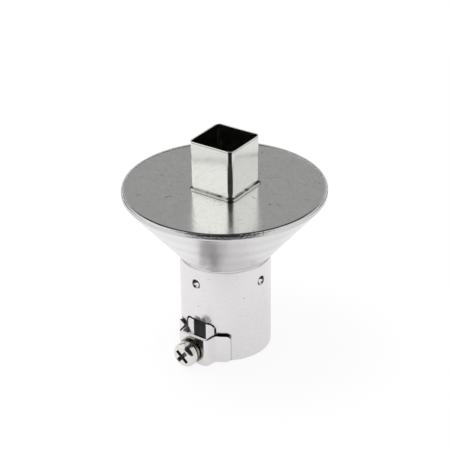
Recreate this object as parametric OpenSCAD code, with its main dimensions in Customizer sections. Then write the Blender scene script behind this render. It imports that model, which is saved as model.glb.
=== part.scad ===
// Hot-air nozzle with a square outlet, built up from turned, spun and folded sheet steel.
// Millimetres. Z is the air's way, from the open end of the socket to the outlet.
// The clamp screw points to -Y. The open end of the socket stands on z = 0.

/* [Socket tube] */
// Bore that slips over the heater pipe
bore_d = 22; // [18:0.5:26]
// Wall of the socket tube
tube_wall = 0.5; // [0.4:0.05:0.8]
// Height of the socket tube
tube_h = 25.4; // [22:0.2:32]
// Depth to which the upper end is bored out as a seat for the funnel's neck
seat_step = 0.2; // [0.16:0.02:0.24]
// Part of the seat's wall that the bevel on the tube's upper edge takes off
bevel_share = 0.75; // [0.3:0.05:0.9]

/* [Clamp tongue] */
// Width of the arched window that frees the tongue
window_w = 9.2; // [8.4:0.1:10]
// Height of the window's top above the open end
window_top = 10.7; // [9.5:0.1:13]
// Radius of the window's upper corners
window_corner = 1.8; // [1.5:0.1:3.5]
// Width of the cut between the tongue and the wall
tongue_gap = 0.55; // [0.4:0.05:0.8]
// Height of the tongue's root above the open end
tongue_root = 1.8; // [1:0.1:2.2]
// Width of the slot that forks the tongue
fork_w = 3.8; // [2.5:0.1:4.4]
// Height of the fork's foot above the open end
fork_foot = 5.6; // [5.5:0.1:7]

/* [Funnel] */
// Sheet of the spun funnel
funnel_wall = 0.5; // [0.4:0.05:0.8]
// Outside diameter of the rim
rim_d = 50.8; // [44:0.2:60]
// Height of the cone, from the tube's upper edge to the rim
cone_h = 17.1; // [13:0.1:22]
// Outside radius of the bend between cone and rim
rim_bend = 0.4; // [0.3:0.1:0.7]
// Thickness of the rim's edge where it is rolled over the cover plate
lip_t = 0.28; // [0.2:0.02:0.4]
// How far the rolled edge reaches over the cover plate
lip_reach = 0.25; // [0.15:0.05:0.6]
// Length of the neck that sits in the tube
neck_h = 7; // [6.8:0.2:9]
// Radial clearance of the neck in the tube
neck_fit = 0.02; // [0.01:0.01:0.06]

/* [Stakes] */
// Number of stakes that lock the neck in the tube
stake_count = 4; // [3:1:6]
// Diameter of the punch's ball
punch_d = 2.8; // [2.4:0.1:3.4]
// Depth of a stake
stake_depth = 0.9; // [0.6:0.05:1]
// Distance of the stakes below the tube's upper edge
stake_drop = 4.4; // [3.8:0.1:4.8]
// Angle from the clamp to the first stake
stake_turn = -4; // [-20:1:20]

/* [Cover plate] */
// Thickness of the cover plate
plate_t = 1; // [0.8:0.05:1.1]
// Radial clearance of the plate in the rim
plate_fit = 0.03; // [0.01:0.01:0.06]

/* [Outlet] */
// Outside width of the square outlet
outlet_w = 12.4; // [8:0.1:20]
// Sheet of the outlet
outlet_wall = 0.5; // [0.4:0.05:0.65]
// Outside radius of the outlet's folded corners
outlet_corner = 1.2; // [0.8:0.1:2]
// Height of the outlet above the cover plate
outlet_h = 13.2; // [8:0.1:20]
// Clearance of the outlet in the plate's hole, each side
outlet_fit = 0.02; // [0.01:0.01:0.06]

/* [Braze] */
// Leg of the braze fillet round the outlet
braze_leg = 0.35; // [0.25:0.05:0.6]
// Diameter of the braze drop at each corner
braze_drop_d = 1; // [0.8:0.1:1.4]

/* [Clamp bracket] */
// Sheet of the bracket
bracket_t = 0.8; // [0.6:0.05:1]
// Height of the bracket, from the open end up
bracket_h = 7.6; // [7:0.1:9]
// Width of the crown, measured to the sharp outer corners
crown_w = 8.5; // [8:0.1:9.5]
// Space between the tube's wall and the crown's inner face
crown_room = 2.3; // [2.2:0.1:3]
// Lean of the legs
leg_lean = 10; // [4:1:16]
// Outside radius of the crown's bends
crown_bend = 1.2; // [1:0.1:1.5]
// Outside radius of the bends at the legs' feet
foot_bend = 0.8; // [0.5:0.1:1.2]
// Half of the angle that the flanges reach round the tube
flange_reach = 41; // [36:1:50]
// Radius of the flanges' corners
flange_corner = 1.2; // [0.6:0.1:2]
// Radial clearance between the bracket and the tube
bracket_fit = 0.02; // [0.01:0.01:0.06]

/* [Clamp screw] */
// Thread diameter
thread_d = 3; // [2.5:0.5:3]
// Length under the head
screw_l = 4.9; // [4.8:0.1:5]
// Head diameter
head_d = 6.4; // [6:0.1:6.8]
// Head height
head_h = 2.2; // [2:0.1:2.6]
// Radius of the head's rounded edge
head_round = 1.4; // [1:0.1:1.6]
// Length of a wing of the cross recess, tip to tip
recess_w = 4; // [3.4:0.1:4.2]
// Width of a wing of the cross recess
recess_slot = 1.05; // [0.8:0.05:1.2]
// Depth of the cross recess
recess_depth = 1.5; // [1:0.1:1.6]
// Turn of the cross recess
recess_turn = -40; // [-45:1:45]
// Height of the screw's axis above the open end
screw_z = 3.8; // [3.7:0.1:4.1]
// Free travel of the screw before the washers close up
screw_slack = 0.3; // [0.3:0.05:0.4]

/* [Nut and washers] */
// Width across the flats of the square nut
nut_w = 5.5; // [5:0.1:6]
// Thickness of the nut
nut_t = 1.8; // [1.4:0.1:1.8]
// Radial running clearance of the thread in the nut
thread_fit = 0.03; // [0.02:0.01:0.08]
// Diameter of the flat washer
flat_d = 6.8; // [6:0.1:7.2]
// Thickness of the flat washer
flat_t = 0.5; // [0.3:0.05:0.8]
// Diameter of the spring washer
spring_d = 6; // [5:0.1:6.6]
// Thickness of the spring washer's wire
spring_t = 0.65; // [0.6:0.05:0.8]
// Opening of the split, as an angle
spring_split = 14; // [8:1:24]
// Turn of the split round the screw
spring_turn = 60; // [0:5:355]
// Radial clearance of the washers and the crown's hole on the thread
washer_fit = 0.1; // [0.06:0.02:0.3]
// Gap between faces that only rest on each other
rest_gap = 0.02; // [0.01:0.01:0.05]

/* [Hidden] */
$fn = 96;
through = 1;

tube_r = bore_d / 2 + tube_wall;
seat_r = bore_d / 2 + seat_step;
seat_wall = tube_wall - seat_step;
tube_bevel = bevel_share * seat_wall;
neck_r = seat_r - neck_fit;
neck_z = tube_h - neck_h;
rim_r = rim_d / 2;
rim_z = tube_h + cone_h;

cone_run = rim_r - neck_r;
cone_slant = sqrt(cone_run * cone_run + cone_h * cone_h);
cone_lean = atan2(cone_run, cone_h);
// How far the sheet's inner bends lie above its outer ones
miter = funnel_wall * (1 - cone_h / cone_slant) / (cone_run / cone_slant);

plate_r = rim_r - funnel_wall - plate_fit;
plate_z = rim_z + miter + rest_gap;
plate_top = plate_z + plate_t;
lip_r = rim_r - funnel_wall - lip_reach;
rim_top = plate_top + rest_gap + lip_t;
outlet_top = plate_top + outlet_h;

stake_z = tube_h - stake_drop;
stake_r = tube_r + punch_d / 2 - stake_depth;

flange_in = tube_r + bracket_fit;
flange_out = flange_in + bracket_t;
crown_in = tube_r + crown_room;
crown_out = crown_in + bracket_t;
hole_r = thread_d / 2 + washer_fit;

spring_h = 2 * spring_t;
flat_seat = rest_gap;
spring_seat = flat_seat + flat_t + screw_slack;
head_seat = spring_seat + spring_h + rest_gap;
nut_seat = bracket_t + rest_gap;

// A ball at each stake, as big as the punch and the sheets that it has pushed in
module stake_balls(r) {
    for (i = [0 : stake_count - 1])
        rotate([0, 0, -90 + stake_turn + i * 360 / stake_count])
            translate([stake_r, 0, stake_z])
                sphere(r = r);
}

// Gives a wall a dent at each stake on the outside and a bump on the inside
module staked(mid_r, wall, ball) {
    difference() {
        union() {
            children();
            intersection() {
                translate([0, 0, stake_z - punch_d - wall]) cylinder(r = mid_r, h = 2 * (punch_d + wall));
                stake_balls(ball + wall);
            }
        }
        stake_balls(ball);
    }
}

// Upright arch in the X-Z plane, with its two upper corners rounded
module arch(w, foot, top, corner) {
    translate([-w / 2, foot]) square([w, top - corner - foot]);
    translate([-w / 2 + corner, foot]) square([w - 2 * corner, top - foot]);
    for (side = [-1, 1])
        translate([side * (w / 2 - corner), top - corner]) circle(r = corner);
}

// Cuts an X-Z outline through the tube's wall on the clamp's side
module through_front_wall() {
    rotate([90, 0, 0]) linear_extrude(height = tube_r + through) children();
}

module socket_tube() {
    color("#dcdcdc") difference() {
        staked(tube_r - seat_wall / 2, seat_wall, punch_d / 2) difference() {
            union() {
                cylinder(r = tube_r, h = tube_h - tube_bevel);
                translate([0, 0, tube_h - tube_bevel])
                    cylinder(r1 = tube_r, r2 = tube_r - tube_bevel, h = tube_bevel);
            }
            translate([0, 0, -through]) cylinder(d = bore_d, h = tube_h + 2 * through);
            translate([0, 0, neck_z - rest_gap]) cylinder(r = seat_r, h = neck_h + rest_gap + through);
        }
        through_front_wall() difference() {
            arch(window_w, tongue_root, window_top, window_corner);
            translate([0, -through])
                arch(window_w - 2 * tongue_gap, tongue_root, window_top - tongue_gap + through,
                     window_corner - tongue_gap);
        }
        through_front_wall()
            translate([-fork_w / 2, fork_foot]) square([fork_w, window_top - tongue_gap / 2 - fork_foot]);
    }
}

// Half section of the funnel's sheet, with a round bend under the rim and its edge rolled inwards over the plate
module funnel_section() {
    roll_r = funnel_wall;
    edge_r = lip_t / 2;
    bend_reach = rim_bend * tan(cone_lean / 2);
    bend_centre = [rim_r - rim_bend, rim_z + bend_reach];
    bend_start = [rim_r - bend_reach * sin(cone_lean), rim_z - bend_reach * cos(cone_lean)];
    bend_end = [rim_r, rim_z + bend_reach];
    difference() {
        union() {
            polygon([
                [neck_r, neck_z],
                [neck_r, tube_h],
                [rim_r, rim_z],
                [rim_r, rim_top - roll_r],
                [rim_r - roll_r, rim_top],
                [lip_r + edge_r, rim_top],
                [lip_r + edge_r, rim_top - lip_t],
                [rim_r - funnel_wall, rim_top - lip_t],
                [rim_r - funnel_wall, rim_z + miter],
                [neck_r - funnel_wall, tube_h + miter],
                [neck_r - funnel_wall, neck_z]
            ]);
            translate([lip_r + edge_r, rim_top - edge_r]) circle(r = edge_r);
            translate([rim_r - roll_r, rim_top - roll_r]) intersection() {
                circle(r = roll_r);
                square(roll_r);
            }
        }
        difference() {
            polygon([bend_centre, bend_start, [rim_r + through, rim_z - through], bend_end]);
            translate(bend_centre) circle(r = rim_bend);
        }
    }
}

module funnel() {
    color("#d2d2d2") staked(neck_r - funnel_wall / 2, funnel_wall, punch_d / 2 + seat_wall + neck_fit)
        rotate_extrude() funnel_section();
}

// Square outline with round corners
module round_square(w, corner) {
    square([w, w - 2 * corner], center = true);
    square([w - 2 * corner, w], center = true);
    for (x = [-1, 1], y = [-1, 1])
        translate([x * (w / 2 - corner), y * (w / 2 - corner)]) circle(r = corner);
}

module cover_plate() {
    color("#a0a0a0") translate([0, 0, plate_z]) difference() {
        cylinder(r = plate_r, h = plate_t);
        translate([0, 0, -through]) linear_extrude(height = plate_t + 2 * through)
            round_square(outlet_w + 2 * outlet_fit, outlet_corner + outlet_fit);
    }
}

module outlet_tube() {
    color("#e4e5e2") translate([0, 0, plate_z]) difference() {
        linear_extrude(height = outlet_top - plate_z) round_square(outlet_w, outlet_corner);
        translate([0, 0, -through]) linear_extrude(height = outlet_top - plate_z + 2 * through)
            round_square(outlet_w - 2 * outlet_wall, outlet_corner - outlet_wall);
    }
}

// Sloping bead round the outlet's foot, with a drop on each corner
module outlet_braze() {
    face = outlet_w / 2 + outlet_fit;
    straight = outlet_w - 2 * outlet_corner;
    arc_r = outlet_corner + outlet_fit;
    drop_at = straight / 2 + arc_r * cos(45);
    color("#8f8f8a") translate([0, 0, plate_top + rest_gap]) difference() {
        union() {
            for (turn = [0, 90]) rotate([0, 0, turn]) rotate([90, 0, 0])
                linear_extrude(height = straight, center = true)
                    polygon([[-face - braze_leg, 0], [-face, braze_leg], [face, braze_leg], [face + braze_leg, 0]]);
            for (x = [-1, 1], y = [-1, 1]) {
                translate([x * straight / 2, y * straight / 2, 0])
                    cylinder(r1 = arc_r + braze_leg, r2 = arc_r, h = braze_leg);
                translate([x * drop_at, y * drop_at, 0])
                    cylinder(d1 = braze_drop_d, d2 = braze_drop_d / 2, h = braze_drop_d / 2);
            }
        }
        translate([0, 0, -through]) linear_extrude(height = braze_drop_d + 2 * through)
            round_square(outlet_w + 2 * outlet_fit, arc_r);
    }
}

// Half of the crown's width at a distance from the tube's axis, measured to the leg's line
function leg_x(half_w, at, y) = half_w + (at - y) * tan(leg_lean);

// Hat outline with rounded crown corners, open towards the axis. The crown faces -Y.
module hat(half_w, face, bend) {
    // Distance from a sharp corner to where its bend starts
    reach = bend * tan((90 - leg_lean) / 2);
    bend_x = half_w - reach;
    bend_y = face - bend;
    foot = tube_r * cos(flange_reach);
    leg_start = [bend_x + bend * cos(leg_lean), -bend_y - bend * sin(leg_lean)];
    leg_end = [leg_x(half_w, face, foot), -foot];
    for (side = [-1, 1]) translate([side * bend_x, -bend_y]) circle(r = bend);
    polygon([
        [bend_x, -face], leg_start, leg_end,
        [-leg_end[0], leg_end[1]], [-leg_start[0], leg_start[1]], [-bend_x, -face]
    ]);
}

// Hollow rounding between a leg's outer face and the flange
module foot_rounding(side) {
    lean = [sin(leg_lean), cos(leg_lean)];
    out = [cos(leg_lean), -sin(leg_lean)];
    corner = [crown_w / 2, -crown_out];
    start = corner + foot_bend * out;
    far = flange_out + foot_bend;
    along = -(start * lean) - sqrt(pow(start * lean, 2) - start * start + far * far);
    centre = start + along * lean;
    on_leg = centre - foot_bend * out;
    on_flange = centre * flange_out / far;
    deep = on_flange * flange_in / flange_out;
    mirror([side < 0 ? 1 : 0, 0]) difference() {
        polygon([on_leg, centre, on_flange, deep, [on_leg[0] - bracket_t / 2, deep[1]]]);
        translate(centre) circle(r = foot_bend);
    }
}

module bracket_section() {
    sweep = 2 * flange_out;
    inner_half = leg_x(crown_w / 2, crown_out, crown_in) - bracket_t / cos(leg_lean);
    difference() {
        union() {
            intersection() {
                circle(r = flange_out);
                polygon([
                    [0, 0],
                    [-sweep * sin(flange_reach), -sweep * cos(flange_reach)],
                    [0, -2 * sweep],
                    [sweep * sin(flange_reach), -sweep * cos(flange_reach)]
                ]);
            }
            hat(crown_w / 2, crown_out, crown_bend);
            for (side = [-1, 1]) foot_rounding(side);
        }
        circle(r = flange_in);
        hat(inner_half, crown_in, crown_bend - bracket_t);
    }
}

// What a rounded corner takes off the end of a flange
module flange_corner_cut(side, top) {
    rotate([0, 0, side * flange_reach]) rotate([90, 0, 0]) linear_extrude(height = 2 * flange_out) difference() {
        translate([side > 0 ? -flange_corner : -through, top ? bracket_h - flange_corner : -through])
            square(flange_corner + through);
        translate([-side * flange_corner, top ? bracket_h - flange_corner : flange_corner])
            circle(r = flange_corner);
    }
}

// Puts a turned piece on the screw's axis, with z = 0 on the crown and z pointing outwards
module on_screw_axis() {
    translate([0, -crown_out, screw_z]) rotate([90, 0, 0]) children();
}

module clamp_bracket() {
    color("#d8d8d8") difference() {
        linear_extrude(height = bracket_h) bracket_section();
        for (side = [-1, 1], top = [false, true]) flange_corner_cut(side, top);
        on_screw_axis() translate([0, 0, -bracket_t - through])
            cylinder(r = hole_r, h = bracket_t + 2 * through);
    }
}

module clamp_nut() {
    color("#b8b8b4") on_screw_axis() translate([0, 0, -nut_seat - nut_t]) difference() {
        translate([-nut_w / 2, -nut_w / 2, 0]) cube([nut_w, nut_w, nut_t]);
        translate([0, 0, -through]) cylinder(r = thread_d / 2 + thread_fit, h = nut_t + 2 * through);
    }
}

// Two crossed wedges, narrower at the bottom of the recess
module cross_recess() {
    foot_w = recess_w - recess_depth;
    for (turn = [0, 90]) rotate([0, 0, turn]) rotate([90, 0, 0])
        linear_extrude(height = recess_slot, center = true)
            polygon([
                [-recess_w / 2, 0], [-foot_w / 2, -recess_depth], [foot_w / 2, -recess_depth],
                [recess_w / 2, 0], [recess_w / 2, through], [-recess_w / 2, through]
            ]);
}

module clamp_screw() {
    tip_bevel = thread_d / 10;
    color("#c8c8c4") on_screw_axis() translate([0, 0, head_seat]) difference() {
        union() {
            rotate_extrude() {
                square([head_d / 2, head_h - head_round]);
                square([head_d / 2 - head_round, head_h]);
                translate([head_d / 2 - head_round, head_h - head_round]) intersection() {
                    circle(r = head_round);
                    square(head_round);
                }
            }
            translate([0, 0, -screw_l + tip_bevel]) cylinder(d = thread_d, h = screw_l);
            translate([0, 0, -screw_l])
                cylinder(d1 = thread_d - 2 * tip_bevel, d2 = thread_d, h = tip_bevel);
        }
        translate([0, 0, head_h]) rotate([0, 0, recess_turn]) cross_recess();
    }
}

// Split ring whose ends stand one wire apart: a left-hand turn of square wire
module spring_washer() {
    steps = 48;
    sweep = 360 - spring_split;
    rise = spring_h - spring_t;
    inner = hole_r;
    outer = spring_d / 2;
    ring = [for (i = [0 : steps]) let (a = -sweep * i / steps, z = rise * i / steps)
        each [[inner * cos(a), inner * sin(a), z], [outer * cos(a), outer * sin(a), z],
              [outer * cos(a), outer * sin(a), z + spring_t], [inner * cos(a), inner * sin(a), z + spring_t]]];
    sides = [for (i = [0 : steps - 1], k = [0 : 3]) let (b = 4 * i, m = (k + 1) % 4)
        [b + k, b + k + 4, b + m + 4, b + m]];
    caps = [[0, 1, 2, 3], [4 * steps + 3, 4 * steps + 2, 4 * steps + 1, 4 * steps]];
    color("#8c8c88") on_screw_axis() translate([0, 0, spring_seat])
        rotate([0, 0, spring_turn]) polyhedron(points = ring, faces = concat(sides, caps));
}

module flat_washer() {
    color("#a8a8a4") on_screw_axis() translate([0, 0, flat_seat]) difference() {
        cylinder(d = flat_d, h = flat_t);
        translate([0, 0, -through]) cylinder(r = hole_r, h = flat_t + 2 * through);
    }
}

socket_tube();
funnel();
cover_plate();
outlet_tube();
outlet_braze();
clamp_bracket();
clamp_nut();
clamp_screw();
spring_washer();
flat_washer();
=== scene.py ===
import math

import bpy
from mathutils import Matrix, Vector, noise


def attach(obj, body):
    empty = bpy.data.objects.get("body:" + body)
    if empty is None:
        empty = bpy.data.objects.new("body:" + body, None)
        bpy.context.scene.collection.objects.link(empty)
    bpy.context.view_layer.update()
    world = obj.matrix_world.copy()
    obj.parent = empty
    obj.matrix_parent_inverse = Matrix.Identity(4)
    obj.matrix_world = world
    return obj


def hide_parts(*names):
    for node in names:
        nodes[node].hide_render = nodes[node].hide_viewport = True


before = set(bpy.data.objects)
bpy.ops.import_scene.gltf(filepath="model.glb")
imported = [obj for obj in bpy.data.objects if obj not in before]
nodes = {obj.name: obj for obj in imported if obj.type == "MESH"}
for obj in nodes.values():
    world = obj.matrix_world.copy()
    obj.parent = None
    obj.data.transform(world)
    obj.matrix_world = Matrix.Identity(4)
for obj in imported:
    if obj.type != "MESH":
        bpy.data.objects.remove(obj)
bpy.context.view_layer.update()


# Socket tube
# A length of thin stainless tube, turned to size and tumbled to an even satin. The
# clamp's tongue is cut free in its wall, and punched stakes hold the funnel's neck in it.
def linear(hex_colour):
    """Turns an sRGB hex colour into the linear one that a shader takes."""
    channels = [int(hex_colour[i:i + 2], 16) / 255 for i in (1, 3, 5)]
    return [c / 12.92 if c <= 0.04045 else ((c + 0.055) / 1.055) ** 2.4 for c in channels] + [1.0]


def across(size_mm):
    """Texture scale at which a pattern's features are that many millimetres across."""
    return 1000 / size_mm


def new_material(name):
    """An empty material, with its node tree."""
    made = bpy.data.materials.new(name)
    made.use_nodes = True
    made.node_tree.nodes.clear()
    return made, made.node_tree


def add(tree, kind, inputs=None, **settings):
    """Adds one node. An input is a plain value, an output, or a node, for its one live output."""
    made = tree.nodes.new(kind)
    for name, value in settings.items():
        setattr(made, name, value)
    for name, value in (inputs or {}).items():
        if isinstance(value, bpy.types.Node):
            value = next(output for output in value.outputs if output.enabled)
        if isinstance(value, bpy.types.NodeSocket):
            tree.links.new(value, made.inputs[name])
        else:
            made.inputs[name].default_value = value
    return made


def wear(node, material):
    """Gives a solid of the frame its finish."""
    solid = nodes[node]
    solid.data.materials.clear()
    solid.data.materials.append(material)


# Most of a noise texture's values lie between these two
NOISE_LOW = 0.3
NOISE_HIGH = 0.7
SPECK_START = 0.69
SPECK_FULL = 0.75
PIT_DEPTH = 0.00001
TUBE_OUTER = 0.0115
STAKE_COUNT = 4
STAKE_FIRST_DEG = -94
STAKE_HEIGHT = 0.0210
STAKE_HALF = 0.0013
TAB_HALF = 0.0013
TABS_ASIDE_DEG = (-1.0, 1.5, 0.8, 0.8)
TAB_DROP = 0.0014
TAB_RISE = 0.25
FLANGE_TOP = 0.0076
FLANGE_SHADE_WIDTH = 0.0008
FLANGE_CORNER = 0.0012
FLANGE_FROM_DEG = 25
FLANGE_TO_DEG = 41
END_SHADE = 0.4
EDGE_RUB = 0.02515
PRONG_OUT = 0.0041
PRONG_TOP = 0.0102
PRESS_SLOPE = 1.27
OUTWARD = 0.3
WINDOW_TOP = 0.0107
ROLL_HALF = 0.0018
ROLL_DEPTH = 0.0004
# How far each roll lies aside, and how high it reaches
ROLLS = ((0.0019, 0.0134), (-0.0004, 0.0122))

tumbled_steel, tree = new_material("tumbled_stainless_tube")
# Tumbling leaves a fine frosted grain with a few specks. The grain is drawn coarser than
# the real one, so that it shows at this distance.
place = add(tree, "ShaderNodeTexCoord").outputs["Object"]
spot = add(tree, "ShaderNodeSeparateXYZ", {"Vector": place})
grain = add(tree, "ShaderNodeTexNoise", {"Vector": place, "Scale": across(0.35), "Detail": 4.0})
specks = add(tree, "ShaderNodeTexNoise", {"Vector": place, "Scale": across(0.6), "Detail": 2.0})
speck_mask = add(tree, "ShaderNodeMapRange", {
    "Value": specks, "From Min": SPECK_START, "From Max": SPECK_FULL})
tone = add(tree, "ShaderNodeMapRange", {"Value": grain, "From Min": NOISE_LOW, "From Max": NOISE_HIGH})
steel = add(tree, "ShaderNodeMix", {
    "Factor": tone, "A": linear("#E4E1E2"), "B": linear("#ECE9EA")}, data_type="RGBA")
tinted = add(tree, "ShaderNodeMix", {
    "Factor": speck_mask, "A": steel, "B": linear("#ABA9A6")}, data_type="RGBA")
frost = add(tree, "ShaderNodeMapRange", {
    "Value": grain, "From Min": NOISE_LOW, "From Max": NOISE_HIGH, "To Min": 0.26, "To Max": 0.34})
# The punch leaves a burnished tab in each stake. The crescent above it is painted dark, a
# painted shade in the dent's upper part. Both are measured along the wall, whatever the stake's
# depth. No two tabs fell in quite the same place.
flat = add(tree, "ShaderNodeCombineXYZ", {"X": spot.outputs["X"], "Y": spot.outputs["Y"]})
radial = add(tree, "ShaderNodeVectorMath", {0: flat}, operation="NORMALIZE")
out_to_wall = add(tree, "ShaderNodeVectorMath", {0: radial, "Scale": TUBE_OUTER}, operation="SCALE")
up_to_place = add(tree, "ShaderNodeCombineXYZ", {"Z": spot.outputs["Z"]})
on_wall = add(tree, "ShaderNodeVectorMath", {0: out_to_wall, 1: up_to_place}, operation="ADD")
nearest = None
nearest_tab = None
for i in range(STAKE_COUNT):
    turn_deg = STAKE_FIRST_DEG + i * 360 / STAKE_COUNT
    turn = math.radians(turn_deg)
    tab_turn = math.radians(turn_deg + TABS_ASIDE_DEG[i])
    centre = (TUBE_OUTER * math.cos(turn), TUBE_OUTER * math.sin(turn), STAKE_HEIGHT)
    tab = (TUBE_OUTER * math.cos(tab_turn), TUBE_OUTER * math.sin(tab_turn), STAKE_HEIGHT - TAB_DROP)
    away = add(tree, "ShaderNodeVectorMath", {0: on_wall, 1: centre}, operation="DISTANCE")
    tab_away = add(tree, "ShaderNodeVectorMath", {0: on_wall, 1: tab}, operation="DISTANCE")
    if nearest is None:
        nearest = away
        nearest_tab = tab_away
    else:
        nearest = add(tree, "ShaderNodeMath", {0: nearest, 1: away}, operation="MINIMUM")
        nearest_tab = add(tree, "ShaderNodeMath", {0: nearest_tab, 1: tab_away}, operation="MINIMUM")
in_stake = add(tree, "ShaderNodeMapRange", {
    "Value": nearest, "From Min": 0.92 * STAKE_HALF, "From Max": STAKE_HALF, "To Min": 1.0,
    "To Max": 0.0})
off_tab = add(tree, "ShaderNodeMapRange", {
    "Value": nearest_tab, "From Min": 0.9 * TAB_HALF, "From Max": 1.1 * TAB_HALF})
painted_crescent_shade = add(tree, "ShaderNodeMath", {0: in_stake, 1: off_tab}, operation="MULTIPLY")
# A grey ring is painted round each stake's brim: painted shade on the dent's rim
stake_brim = add(tree, "ShaderNodeMapRange", {
    "Value": nearest, "From Min": 0.70 * STAKE_HALF, "From Max": 0.85 * STAKE_HALF})
painted_brim_shade = add(tree, "ShaderNodeMath", {0: in_stake, 1: stake_brim}, operation="MULTIPLY")
brim_shaded = add(tree, "ShaderNodeMix", {
    "Factor": painted_brim_shade, "A": tinted, "B": linear("#C4C3C0")}, data_type="RGBA")
crescent_shaded = add(tree, "ShaderNodeMix", {
    "Factor": painted_crescent_shade, "A": brim_shaded, "B": linear("#2E2D2A")}, data_type="RGBA")
# Along the flanges' upper edges the wall is painted dark, running round their corners and
# fading on its way down their ends: painted shade and reflection of the flanges' cut edges
forwards = add(tree, "ShaderNodeMath", {0: spot.outputs["Y"], 1: -1.0}, operation="MULTIPLY")
round_axis = add(tree, "ShaderNodeMath", {0: spot.outputs["X"], 1: forwards}, operation="ARCTAN2")
from_clamp = add(tree, "ShaderNodeMath", {0: round_axis}, operation="ABSOLUTE")
past_leg = add(tree, "ShaderNodeMath", {
    0: from_clamp, 1: math.radians(FLANGE_FROM_DEG)}, operation="GREATER_THAN")
along_wall = add(tree, "ShaderNodeMath", {0: from_clamp, 1: TUBE_OUTER}, operation="MULTIPLY")
past_corner = add(tree, "ShaderNodeMath", {
    0: along_wall, 1: math.radians(FLANGE_TO_DEG) * TUBE_OUTER - FLANGE_CORNER}, operation="SUBTRACT")
over_corner = add(tree, "ShaderNodeMath", {
    0: spot.outputs["Z"], 1: FLANGE_TOP - FLANGE_CORNER}, operation="SUBTRACT")
end_gap = add(tree, "ShaderNodeMath", {0: past_corner, 1: 0.0}, operation="MAXIMUM")
top_gap = add(tree, "ShaderNodeMath", {0: over_corner, 1: 0.0}, operation="MAXIMUM")
gap = add(tree, "ShaderNodeCombineXYZ", {"X": end_gap, "Y": top_gap})
from_corner = add(tree, "ShaderNodeVectorMath", {0: gap}, operation="LENGTH")
fading = add(tree, "ShaderNodeMapRange", {
    "Value": over_corner, "From Min": 0.0, "From Max": FLANGE_CORNER, "To Min": END_SHADE})
off_flange = add(tree, "ShaderNodeMath", {0: from_corner, 1: FLANGE_CORNER}, operation="SUBTRACT")
spread = add(tree, "ShaderNodeMath", {0: off_flange, 1: fading}, operation="DIVIDE")
by_flange = add(tree, "ShaderNodeMapRange", {
    "Value": spread, "From Min": 0.5 * FLANGE_SHADE_WIDTH, "From Max": FLANGE_SHADE_WIDTH, "To Min": 1.0,
    "To Max": 0.0})
beside_leg = add(tree, "ShaderNodeMath", {0: past_leg, 1: by_flange}, operation="MULTIPLY")
flange_shade = add(tree, "ShaderNodeMath", {0: beside_leg, 1: fading}, operation="MULTIPLY")
flange_shaded = add(tree, "ShaderNodeMix", {
    "Factor": flange_shade, "A": crescent_shaded, "B": linear("#1E1D1B")}, data_type="RGBA")
gloss = add(tree, "ShaderNodeMix", {"Factor": in_stake, "A": frost, "B": 0.16}, data_type="FLOAT")
# Cutting the window rolls the wall in a little above the fork, in two places
roll = None
for roll_aside, roll_top in ROLLS:
    off_roll = add(tree, "ShaderNodeMath", {0: spot.outputs["X"], 1: roll_aside}, operation="SUBTRACT")
    aside = add(tree, "ShaderNodeMath", {0: off_roll}, operation="ABSOLUTE")
    over_fork = add(tree, "ShaderNodeMapRange", {
        "Value": aside, "From Min": 0.0, "From Max": ROLL_HALF, "To Min": 1.0, "To Max": 0.0},
        interpolation_type="SMOOTHSTEP")
    above_edge = add(tree, "ShaderNodeMapRange", {
        "Value": spot.outputs["Z"], "From Min": WINDOW_TOP, "From Max": roll_top, "To Min": 1.0,
        "To Max": 0.0})
    rolled = add(tree, "ShaderNodeMath", {0: above_edge, 1: 2.0}, operation="POWER")
    hump = add(tree, "ShaderNodeMath", {0: rolled, 1: over_fork}, operation="MULTIPLY")
    if roll is None:
        roll = hump
    else:
        roll = add(tree, "ShaderNodeMath", {0: roll, 1: hump}, operation="MAXIMUM")
in_front = add(tree, "ShaderNodeMath", {0: spot.outputs["Y"], 1: 0.0}, operation="LESS_THAN")
roll_front = add(tree, "ShaderNodeMath", {0: roll, 1: in_front}, operation="MULTIPLY")
pits = add(tree, "ShaderNodeBump", {"Strength": 0.25, "Distance": PIT_DEPTH, "Height": grain})
rolled_edge = add(tree, "ShaderNodeBump", {
    "Strength": 1.0, "Distance": ROLL_DEPTH, "Height": roll_front, "Normal": pits}, invert=True)
# The punch leaves the stakes' tabs nearly upright, and the press leaves the prongs' faces turned
# up, so that both catch the light. The upper edge is rubbed round and shades like the wall.
beside = add(tree, "ShaderNodeMath", {0: spot.outputs["X"]}, operation="ABSOLUTE")
in_window = add(tree, "ShaderNodeMath", {0: beside, 1: PRONG_OUT}, operation="LESS_THAN")
below_top = add(tree, "ShaderNodeMath", {0: spot.outputs["Z"], 1: PRONG_TOP}, operation="LESS_THAN")
on_tongue = add(tree, "ShaderNodeMath", {0: in_window, 1: below_top}, operation="MULTIPLY")
on_prong = add(tree, "ShaderNodeMath", {0: on_tongue, 1: in_front}, operation="MULTIPLY")
pressed = add(tree, "ShaderNodeMath", {0: on_prong, 1: in_stake}, operation="MAXIMUM")
true_face = add(tree, "ShaderNodeNewGeometry").outputs["True Normal"]
level_face = add(tree, "ShaderNodeVectorMath", {
    0: true_face, 1: (1.0, 1.0, TAB_RISE)}, operation="MULTIPLY")
tab_face = add(tree, "ShaderNodeMix", {
    "Factor": in_stake, "A": radial, "B": level_face}, data_type="VECTOR")
turned_face = add(tree, "ShaderNodeMix", {
    "Factor": on_prong, "A": tab_face, "B": (0.0, -1.0, PRESS_SLOPE)}, data_type="VECTOR")
face = add(tree, "ShaderNodeVectorMath", {0: turned_face}, operation="NORMALIZE")
facing = add(tree, "ShaderNodeVectorMath", {0: true_face, 1: radial}, operation="DOT_PRODUCT")
outward = add(tree, "ShaderNodeMath", {0: facing, 1: OUTWARD}, operation="GREATER_THAN")
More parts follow.
